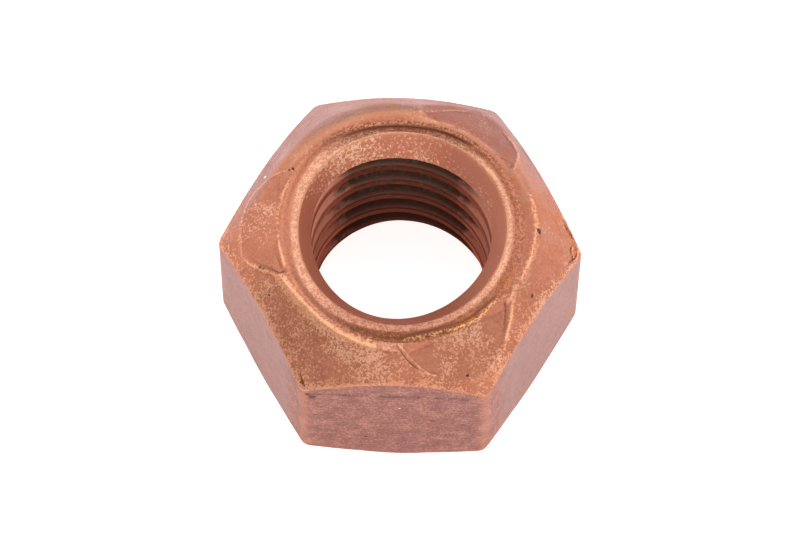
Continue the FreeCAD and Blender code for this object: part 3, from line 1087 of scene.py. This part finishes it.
class Surface:
    """What a finish reads of the nut, in millimetres, and the colour painted on it so far."""

    def __init__(self, graph: Graph) -> None:
        """Gather the place, the noises and the regions that several coats read.

        Args:
            graph: The material's graph.
        """
        self.graph = graph
        self.colour: object = (1.0, 1.0, 1.0, 1.0)
        self.masks: dict[Zone | Mask, Signal] = {}
        metres = graph.add("ShaderNodeTexCoord").outputs["Object"]
        scaled = graph.add("ShaderNodeVectorMath", {"operation": "SCALE"}, {0: metres, "Scale": 1.0 / MM})
        self.place = scaled.outputs[0]
        axes = graph.add("ShaderNodeSeparateXYZ", None, {0: self.place}).outputs
        self.x, self.y, self.z = (Signal(graph, axis) for axis in axes)
        self.radius = (self.x * self.x + self.y * self.y) ** 0.5
        self.patch = self.noise(0.55, 2.0)
        self.blotch = self.noise(1.5, 4.0, 0.6)
        self.flakes = self.noise(7.5, 5.0, 0.7, None, 0.5)
        self.grain = self.noise(14.0, 3.0, 0.65)
        self.streaks = self.noise(1.6, 6.0, 0.75, (0.6, 0.6, 5.0))
        self.fine = self.grain * 0.9 + self.flakes * 1.1
        self.grains = self.fine.step(-0.16, 0.16)
        self.behind = self.y.step(2.5, 4.0)
        self.near = (-self.y).step(2.0, 4.2)
        self.front = (-self.y).step(4.6, 5.6)
        self.left = (-self.x).step(0.8, 3.0)
        outward = (self.y + (-self.x).most(self.x * 0.3) * 0.35).step(1.6, 4.4)
        margin = self.radius + self.y * 0.08 + self.blotch * 0.9 + self.flakes * 0.5
        unpressed = 1.0 - self.mask(Mask.FACET) * 0.7
        self.far = outward * margin.step(5.35, 5.85) * self.mask(Zone.CONE) * unpressed
        self.shine = self.mask(Mask.BURNISH) * self.fine.step(-0.2, 0.05)

    def noise(
        self, scale: float, detail: float, rough: float = 0.5,
        stretch: tuple | None = None, swirl: float = 0.0,
    ) -> Signal:
        """Add a noise.

        Args:
            scale: Waves per millimetre.
            detail: Finer layers.
            rough: Strength of the finer layers.
            stretch: Scale of each axis, where they differ.
            swirl: How much the noise bends its own place.

        Returns:
            The noise, about 0.
        """
        vector = self.place
        if stretch:
            mapping = self.graph.add("ShaderNodeMapping", None, {"Vector": self.place, "Scale": stretch})
            vector = mapping.outputs[0]
        sockets = {"Vector": vector, "Scale": scale, "Detail": detail}
        sockets |= {"Roughness": rough, "Distortion": swirl}
        return self.graph.signal("ShaderNodeTexNoise", None, sockets) - 0.5

    def mask(self, part: Zone | Mask) -> Signal:
        """Read a mask stored on the mesh.

        Args:
            part: The mask.

        Returns:
            Its value.
        """
        if part not in self.masks:
            settings = {"attribute_name": part.value}
            self.masks[part] = self.graph.signal("ShaderNodeAttribute", settings, None, "Fac")
        return self.masks[part]

    def distance(self, spot: tuple[float, float, float]) -> Signal:
        """Distance from a spot."""
        sockets = {0: self.place, 1: spot}
        return self.graph.signal("ShaderNodeVectorMath", {"operation": "DISTANCE"}, sockets, "Value")

    def paint(self, share: Signal | float, colour: object) -> None:
        """Lay a colour over what is painted so far."""
        self.colour = self.graph.mix(share, self.colour, colour)


@dataclass(frozen=True)
class WornCopper:
    """Tumbled copper plating: pale flakes on a brown-red ground, polished edges partly painted as
    highlights, mauve sides, and painted shade in the creases and the bore.
    """

    name: str = "worn_copper_plate"
    ground: tuple = linear(184, 116, 92)
    deep: tuple = linear(177, 108, 84)
    pressed: tuple = linear(168, 106, 92)
    flake: tuple = linear(238, 166, 124)
    flake_light: tuple = linear(243, 188, 154)
    shoulder_highlight: tuple = linear(214, 152, 122)
    gold: tuple = linear(255, 212, 172)
    gilt: tuple = linear(250, 188, 128)
    edge: tuple = linear(230, 158, 122)
    lip: tuple = linear(247, 178, 138)
    grain_dark: tuple = linear(160, 98, 72)
    valley: tuple = linear(212, 140, 110)
    # Dark brown for the valley's dirt and for painted shade on the crest and valley at the back.
    valley_dirt_and_shade: tuple = linear(110, 66, 40)
    orange: tuple = linear(206, 122, 62)
    crest_dark: tuple = linear(200, 134, 104)
    crest_light: tuple = linear(236, 180, 150)
    crest_near: tuple = linear(204, 142, 122)
    crease: tuple = linear(84, 46, 32)
    mouth: tuple = linear(223, 138, 110)
    far: tuple = linear(182, 156, 158)
    far_dark: tuple = linear(162, 131, 128)
    side: tuple = linear(144, 116, 115)
    front: tuple = linear(138, 94, 88)
    side_dark: tuple = linear(112, 76, 70)
    side_pale: tuple = linear(198, 142, 126)
    line: tuple = linear(72, 46, 42)
    thread: tuple = linear(228, 158, 134)
    thread_crest: tuple = linear(150, 76, 56)
    mouth_lit: tuple = linear(248, 167, 140)
    # Near black for painted shade in the bore.
    bore_shade: tuple = linear(24, 12, 9)
    oil: tuple = linear(92, 92, 82)
    tint: tuple = linear(255, 208, 194)
    marks: tuple[Mark, ...] = (
        Mark(5.205, 0.132, 7.654, 0.10, linear(46, 52, 62)),
        Mark(5.235, 0.06, 7.63, 0.06, linear(46, 52, 62)),
        Mark(-4.134, 2.403, 7.605, 0.065, linear(60, 44, 38)),
        Mark(-5.199, -1.568, 7.283, 0.07, linear(84, 74, 72)),
        Mark(-4.296, -1.911, 7.651, 0.07, linear(110, 96, 92)),
        Mark(-4.813, -2.659, 7.178, 0.06, linear(84, 56, 44)),
        Mark(-4.80, -2.56, 7.21, 0.035, linear(84, 56, 44)),
        Mark(2.004, 4.369, 7.59, 0.06, linear(96, 62, 56)),
        Mark(5.011, -2.369, 7.244, 0.08, linear(70, 72, 78)),
        Mark(2.697, -5.445, 6.672, 0.055, linear(56, 40, 36)),
        Mark(-3.462, -5.689, 6.105, 0.09, linear(132, 68, 24)),
        Mark(-3.339, -4.879, 6.777, 0.05, linear(196, 112, 60)),
        Mark(-5.196, 2.264, 7.121, 0.06, linear(236, 228, 224)),
        Mark(0.194, -6.0, 4.628, 0.04, linear(232, 220, 216)),
        Mark(-3.084, -6.0, 5.442, 0.16, linear(76, 50, 48)),
        Mark(-1.859, -6.0, 3.824, 0.07, linear(110, 76, 66)),
        Mark(1.466, -6.0, 3.534, 0.12, linear(104, 70, 80)),
        Mark(1.27, -6.0, 3.45, 0.08, linear(196, 108, 58)),
        Mark(-1.086, -6.0, 1.783, 0.07, linear(84, 42, 32)),
        Mark(2.605, -6.0, 3.238, 0.08, linear(84, 58, 56)),
        Mark(-3.25, -6.0, 5.675, 0.10, linear(74, 42, 30)),
        Mark(-5.069, -1.671, 7.364, 0.05, linear(92, 80, 78)),
        Mark(-4.239, -1.925, 7.643, 0.05, linear(92, 80, 78)),
        Mark(-4.282, 2.34, 7.637, 0.05, linear(92, 70, 58)),
    )
    rust_spot: tuple[float, float, float] = (3.3, -3.0, 7.6)
    line_height: float = 5.68
    mark_edge: tuple[float, float] = (1.15, 0.75)
    mark_raggedness: float = 0.09
    mark_share: float = 0.9
    bump_strength: float = 0.6
    bump_height: float = 0.03 * MM
    fine_relief: float = 0.7
    side_relief: float = 0.5
    metallic: float = 0.68
    thread_metallic: float = 0.3
    roughness: float = 0.45
    flake_roughness: float = 0.25
    thread_roughness: float = 0.1
    shine_polish: float = 0.08
    polish: tuple[tuple[Zone | Mask, float], ...] = (
        (Mask.LIP, 0.12), (Mask.FACET, 0.04), (Zone.CREST, 0.04),
    )

    def build(self) -> bpy.types.Material:
        """Make the material, coat by coat.

        Returns:
            The material.
        """
        material = bpy.data.materials.new(self.name)
        material.use_nodes = True
        nut = Surface(Graph(material.node_tree))
        coats = (
            self.paint_top, self.paint_mouth, self.paint_sides, self.paint_crest, self.paint_valley,
            self.paint_flecks, self.paint_edges, self.paint_thread, self.paint_marks, self.add_shader,
        )
        for coat in coats:
            coat(nut)
        return material

    def paint_top(self, nut: Surface) -> None:
        """Paint the brown-red ground, the pressed back, a painted highlight on the shoulder and the mauve
        far margin.

        Args:
            nut: The surface to paint.
        """
        x, y, radius, cone, facet = nut.x, nut.y, nut.radius, nut.mask(Zone.CONE), nut.mask(Mask.FACET)
        nut.colour = nut.graph.mix(nut.blotch.step(-0.12, 0.1), self.deep, self.ground)
        nut.paint(nut.grains * 0.2 * cone, self.flake)
        nut.paint(facet * nut.behind * 0.75, self.pressed)
        mauve = (nut.blotch + nut.flakes * 0.5).step(-0.04, 0.12) * x.step(1.6, 3.6) * y.step(-3.4, 0.4)
        nut.paint(mauve * cone * 0.22, self.far_dark)
        # Painted highlight: the rounded shoulder at the back, and a band just inside it at the right back,
        # are painted paler where they face the light.
        shoulder_highlight = y.step(1.2, 3.4) * radius.step(4.7, 5.0) * radius.step(5.9, 5.5) * (1.0 - facet)
        nut.paint(shoulder_highlight * cone * 0.5, self.shoulder_highlight)
        band = nut.behind * x.step(0.0, 1.0) * radius.step(4.5, 4.6) * radius.step(4.86, 4.76)
        nut.paint(band * cone * 0.75, self.shoulder_highlight)
        scuffs = (nut.streaks + nut.grain * 0.8 + nut.patch * 0.6).step(-0.1, 0.12)
        nut.paint(nut.far * 0.8, nut.graph.mix(scuffs, self.far_dark, self.far))

    def paint_mouth(self, nut: Surface) -> None:
        """Paint the countersinks, with painted light making them lighter to the right."""
        # Painted light: the countersink wall on the right, which faces the light, is painted lighter.
        mouth = nut.graph.mix(nut.x.step(1.4, 3.2) * 0.9, self.mouth, self.mouth_lit)
        nut.paint(nut.mask(Zone.MOUTH) * 0.8, mouth)

    def paint_sides(self, nut: Surface) -> None:
        """Paint the mauve sides, rubbed dark and pale, with painted shade making the front flat darker, and
        a thin dark line below their upper edge.

        Args:
            nut: The surface to paint.
        """
        side, front = nut.mask(Zone.SIDE), nut.front
        # Painted shade: the front flat gets a darker, redder colour than the other flats, and stronger dark
        # rubs.
        nut.paint(side, nut.graph.mix(front, self.side, self.front))
        rubbed = nut.streaks * 0.65 + nut.blotch * 1.1 + nut.fine * 1.3
        nut.paint(rubbed.step(0.02, 0.22) * side * (0.25 + front * 0.4), self.side_dark)
        nut.paint(rubbed.step(-0.02, -0.22) * side * (0.15 + front * 0.35), self.side_pale)
        off = nut.z - self.line_height - nut.patch * 0.3
        line = (off * off * 60.0).step(1.0, 0.0) * side * (nut.blotch + nut.grain).step(-0.18, 0.15)
        nut.paint(line * (0.15 + front * 0.6), self.line)

    def paint_crest(self, nut: Surface) -> None:
        """Paint the crest round the mouth, granular, duller in front, with painted shade along its outer
        edge at the back.

        Args:
            nut: The surface to paint.
        """
        mix = nut.graph.mix
        crest = mix(nut.grains, self.crest_dark, self.crest_light)
        crest = mix(nut.near * 0.85, crest, mix(nut.grains, self.grain_dark, self.crest_near))
        # Painted shade: the crest's outer edge at the back, which faces away from the light, is painted
        # dark and grainy.
        shaded_back_edge = nut.behind * nut.radius.step(3.98, 4.08)
        crest = mix(shaded_back_edge * (nut.fine.step(0.22, -0.1) * 0.4 + 0.52), crest, self.valley_dirt_and_shade)
        nut.paint(nut.mask(Zone.CREST), crest)

    def paint_valley(self, nut: Surface) -> None:
        """Paint the valley, dark in front, with dirt and grit that are heavier at the back, where they are
        partly painted shade, and rust at one spot.

        Args:
            nut: The surface to paint.
        """
        mix = nut.graph.mix
        before = nut.near * (1.0 - nut.left)
        light = (nut.grains + nut.left * 0.5).least(1.0) * (1.0 - before * 0.7)
        valley = mix(light, self.grain_dark, self.valley)
        # Dirt and grit; heavier at the back, where they are partly painted shade on the far valley.
        dirt_and_shade = (nut.blotch + nut.grain * 0.9).step(0.06, 0.2) * (0.18 - nut.left * 0.1 + nut.behind * 0.6)
        grit_and_shade = dirt_and_shade.most(nut.behind * nut.fine.step(0.1, -0.08) * 0.6)
        grit_and_shade = grit_and_shade.most(before * nut.fine.step(0.14, -0.1) * 0.65)
        valley = mix(grit_and_shade, valley, self.valley_dirt_and_shade)
        orange = (nut.patch + nut.grain * 0.8).step(0.0, 0.22)
        rusty = orange * (0.08 + nut.distance(self.rust_spot).step(2.4, 0.5) * 0.6)
        nut.paint(nut.mask(Zone.VALLEY), mix(rusty, valley, self.orange))

    def paint_flecks(self, nut: Surface) -> None:
        """Paint the pale flecks of the top and the golden ones of the far mouth.

        Args:
            nut: The surface to paint.
        """
        x, y, z = nut.x, nut.y, nut.z
        density = nut.patch * 0.34 + nut.blotch * 0.25 + nut.mask(Mask.WORN) * 0.09 + nut.near * 0.02
        right = x.step(2.8, 4.2) * y.step(-2.6, -1.0) * 0.08
        left = (-x).step(2.0, 3.6) * y.step(0.4, 1.6) * 0.1
        plain = right + left + x.step(1.5, 4.0) * nut.behind * 0.08
        density = density - nut.far * 0.12 - nut.mask(Mask.SMEARED) * 0.25
        density = density - plain * (1.0 - nut.mask(Mask.FACET) * 0.6)
        flecks = (nut.fine * 0.62 + density).step(0.03, 0.11) * nut.mask(Zone.CONE)
        light = (nut.patch + nut.grain * 0.7).step(0.0, 0.16)
        nut.paint(flecks * 0.6, nut.graph.mix(light, self.flake, self.flake_light))
        far_left = (y * 0.85 - x * 0.35).step(1.3, 2.9) * 0.095
        turned = (-x).step(1.0, 2.4) * y.step(0.6, 1.6) * 0.06
        by_lip = x.step(1.5, 2.6) * y.step(0.2, 1.0) * z.step(7.5, 7.3) * 0.11
        speckled = nut.noise(9.6, 5.0, 0.7, None, 0.6) + nut.patch * 0.3 + far_left + turned + by_lip
        nut.paint(speckled.step(0.16, 0.195) * nut.mask(Zone.MOUTH) * z.step(6.6, 6.9), self.gold)

    def paint_edges(self, nut: Surface) -> None:
        """Paint polished edges and bright lips that are partly painted highlights, dark creases of painted
        shade with some dirt, and gilded lines.

        Args:
            nut: The surface to paint.
        """
        lip, crease, rim = nut.mask(Mask.LIP), nut.mask(Mask.CREASE), nut.mask(Mask.RIM)
        # Polished edges, partly painted highlight.
        nut.paint(nut.shine.clamped() * 0.8, self.edge)
        # Bright lips, partly painted highlight.
        nut.paint((lip + nut.fine * 1.4).step(0.3, 0.95) * lip.step(0.0, 0.2) * 0.85, self.lip)
        # Dark creases, painted shade with some dirt.
        nut.paint((crease + nut.fine * 0.9).step(0.25, 0.85) * crease.step(0.0, 0.2) * 0.9, self.crease)
        nut.paint((rim * 0.8 + nut.fine * 2.4).step(0.45, 0.95) * rim.step(0.0, 0.25) * 0.75, self.gilt)

    def paint_thread(self, nut: Surface) -> None:
        """Paint the thread, with painted shade on its crest lines, in its grooves and over the far wall,
        and oil on the far wall.

        Args:
            nut: The surface to paint.
        """
        mix, y, z, groove = nut.graph.mix, nut.y, nut.z, nut.mask(Mask.GROOVE)
        # Painted shade: the thread's crest lines are painted dark red.
        bore = mix(groove.step(0.12, 0.0), self.thread, self.thread_crest)
        # Painted shade: the groove roots under each crest are painted near black.
        bore = mix(groove.step(0.8, 1.0) * 0.55, bore, self.bore_shade)
        # Painted shade: the far wall of the bore is painted near black, more so lower down and in the
        # grooves.
        far_wall_shade_reach = y + nut.streaks * 1.5 + nut.blotch * 1.3 + (7.0 - z) * 0.1 - nut.left * 0.25
        far_wall_shade = (far_wall_shade_reach.step(2.15, 3.15) * (0.84 + groove * 0.16)).clamped()
        bore = mix(far_wall_shade * (0.8 + groove.step(0.05, 0.3) * 0.18), bore, self.bore_shade)
        oily = (nut.noise(3.2, 5.0, 0.7, (1.0, 1.0, 2.6)) + (y - 3.0) * 0.1).step(0.06, 0.14)
        bore = mix(oily * y.step(2.2, 3.2) * z.step(2.0, 5.0) * 0.7, bore, self.oil)
        nut.paint(nut.mask(Zone.THREAD), bore)

    def paint_marks(self, nut: Surface) -> None:
        """Paint the pits and spots, with ragged edges.

        Args:
            nut: The surface to paint.
        """
        ragged = nut.grain * self.mark_raggedness
        outer, inner = self.mark_edge
        for mark in self.marks:
            gap = nut.distance((mark.x, mark.y, mark.z)) + ragged
            share = gap.step(mark.radius * outer, mark.radius * inner) * self.mark_share
            nut.paint(share, mark.colour)

    def add_shader(self, nut: Surface) -> None:
        """Finish the material with its relief, metal and roughness.

        Args:
            nut: The painted surface.
        """
        thread = nut.mask(Zone.THREAD)
        rubbed = (nut.streaks + 0.5) * nut.mask(Zone.SIDE)
        bump = nut.graph.add("ShaderNodeBump", None, {
            "Strength": self.bump_strength,
            "Distance": self.bump_height,
            "Height": nut.fine * self.fine_relief + rubbed * self.side_relief,
        })
        rough = self.roughness + nut.flakes * self.flake_roughness + thread * self.thread_roughness
        rough = rough - nut.shine * self.shine_polish
        for part, share in self.polish:
            rough = rough - nut.mask(part) * share
        shader = nut.graph.add("ShaderNodeBsdfPrincipled", None, {
            "Base Color": nut.colour,
            "Metallic": self.metallic + thread * self.thread_metallic,
            "Specular Tint": self.tint,
            "Roughness": rough.clamped(),
            "Normal": bump.outputs[0],
        })
        nut.graph.add("ShaderNodeOutputMaterial", None, {"Surface": shader.outputs[0]})


@dataclass(frozen=True)
class Softbox:
    """A square soft light that faces the nut."""

    name: str
    azimuth: float
    elevation: float
    distance: float
    size: float
    radiance: float

    def build(self) -> None:
        """Add the light."""
        light = bpy.data.lights.new(self.name, "AREA")
        light.shape = "SQUARE"
        light.size = self.size
        light.energy = self.radiance * math.pi * self.size**2
        turn, lift = math.radians(self.azimuth), math.radians(self.elevation)
        out = Vector((math.cos(turn) * math.cos(lift), math.sin(turn) * math.cos(lift), math.sin(lift)))
        lamp = bpy.data.objects.new(self.name, light)
        lamp.location = out * self.distance
        lamp.rotation_euler = out.to_track_quat("Z", "Y").to_euler()
        bpy.context.scene.collection.objects.link(lamp)


@dataclass
class Studio:
    """Plain pale floor, soft boxes and the even light of the room."""

    floor_size: float = 3.0
    floor_colour: tuple = (0.9, 0.9, 0.9, 1.0)
    floor_drop: float = 0.01 * MM
    floor_roughness: float = 0.9
    floor_glow: float = 0.95
    room_colour: tuple = (1.0, 1.0, 1.0, 1.0)
    room_radiance: float = 0.4
    lights: tuple[Softbox, ...] = (
        Softbox("box_left", 150.0, 22.0, 0.30, 0.26, 1.0),
        Softbox("box_right", 30.0, 22.0, 0.30, 0.26, 1.1),
        Softbox("box_top", 90.0, 70.0, 0.34, 0.30, 1.5),
        Softbox("box_front", -95.0, 32.0, 0.34, 0.26, 0.9),
        Softbox("box_front_right", -38.0, 22.0, 0.32, 0.22, 1.35),
    )

    def build(self) -> None:
        """Add the floor, the lights and the room."""
        half = self.floor_size / 2.0
        mesh = bpy.data.meshes.new("studio_floor")
        corners = [(-half, -half), (half, -half), (half, half), (-half, half)]
        mesh.from_pydata([(x, y, -self.floor_drop) for x, y in corners], [], [(0, 1, 2, 3)])
        floor = bpy.data.objects.new("studio_floor", mesh)
        bpy.context.scene.collection.objects.link(floor)
        material = bpy.data.materials.new("pale_floor")
        material.use_nodes = True
        graph = Graph(material.node_tree)
        shader = graph.add("ShaderNodeBsdfPrincipled", None, {
            "Base Color": self.floor_colour,
            "Roughness": self.floor_roughness,
            "Emission Color": self.floor_colour,
            "Emission Strength": self.floor_glow,
        })
        graph.add("ShaderNodeOutputMaterial", None, {"Surface": shader.outputs[0]})
        mesh.materials.append(material)
        for light in self.lights:
            light.build()
        world = bpy.data.worlds.new("studio_room")
        world.use_nodes = True
        room = Graph(world.node_tree)
        colours = {"Color": self.room_colour, "Strength": self.room_radiance}
        light = room.add("ShaderNodeBackground", None, colours)
        room.add("ShaderNodeOutputWorld", None, {"Surface": light.outputs[0]})
        bpy.context.scene.world = world
        bpy.context.scene.view_settings.view_transform = "Standard"
        LOG.info("studio: floor and %d lights", len(self.lights))


@dataclass
class PhotoCamera:
    """Camera at the photograph's viewing angle, with a long lens."""

    azimuth: float = 1.406
    elevation: float = 65.356
    roll: float = 0.634
    distance: float = 173.2 * MM
    aim_height: float = 2.8235 * MM
    lens: float = 202.5
    raise_aim: float = 16.76 / FOCAL_PIXELS
    right_aim: float = 0.37 / FOCAL_PIXELS
    sensor: float = 36.0
    nearest: float = 10.0 * MM

    def build(self) -> None:
        """Add the camera and make it the scene's own."""
        lift = math.radians(self.elevation)
        about = Matrix.Rotation(math.radians(self.azimuth), 3, "Z")
        back = about @ Vector((0.0, -math.cos(lift), math.sin(lift)))
        right = about @ Vector((1.0, 0.0, 0.0))
        up = back.cross(right)
        over, aside = math.cos(math.radians(self.roll)), math.sin(math.radians(self.roll))
        right, up = right * over + up * aside, up * over - right * aside
        forward = (-back + up * self.raise_aim + right * self.right_aim).normalized()
        right = (right - forward * right.dot(forward)).normalized()
        turned = Matrix((right, right.cross(forward), -forward)).transposed()
        data = bpy.data.cameras.new("photo_camera")
        data.lens = self.lens
        data.sensor_width = self.sensor
        data.clip_start = self.nearest
        camera = bpy.data.objects.new("photo_camera", data)
        place = Vector((0.0, 0.0, self.aim_height)) + back * self.distance
        camera.matrix_world = Matrix.Translation(place) @ turned.to_4x4()
        bpy.context.scene.collection.objects.link(camera)
        bpy.context.scene.camera = camera


def main() -> None:
    """Build the nut, the studio and the camera in order."""
    logging.basicConfig(level=logging.INFO, format="%(name)s: %(message)s")
    LockNut(NutSizes.from_frame("lock_nut"), WornCopper().build()).build()
    Studio().build()
    PhotoCamera().build()


if __name__ == "__main__":
    main()
